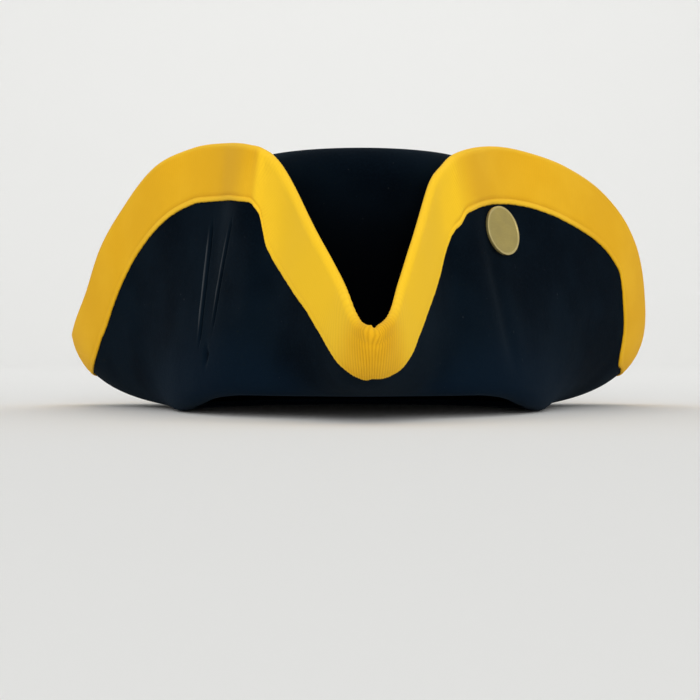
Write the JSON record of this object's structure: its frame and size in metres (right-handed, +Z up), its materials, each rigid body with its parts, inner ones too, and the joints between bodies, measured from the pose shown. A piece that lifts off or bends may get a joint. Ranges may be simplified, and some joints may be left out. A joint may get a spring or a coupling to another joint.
{
  "type": "tricorn hat",
  "caption": "Felt hat with a tall rounded crown, a brim turned up in three flaps, a ribbed yellow edge binding and a flat brass button on the left flap.",
  "frame": {"origin": "on the ground under the middle of the hat's box", "axes": "-Y is the front, the point over the wearer's face; +X is the wearer's left, the button's side; +Z is up"},
  "size_m": [0.3244, 0.3134, 0.1329],
  "materials": {
    "felt": "short velvety nap, blue-black, matt with a cool sheen at a slant",
    "binding": "matt ribbed band, warm yellow",
    "button": "dull brushed brass with a lighter raised rim"
  },
  "bodies": {
    "root": {"crown": "felt", "brim": "felt", "edge_binding": "binding", "button": "button"}
  },
  "joints": []
}
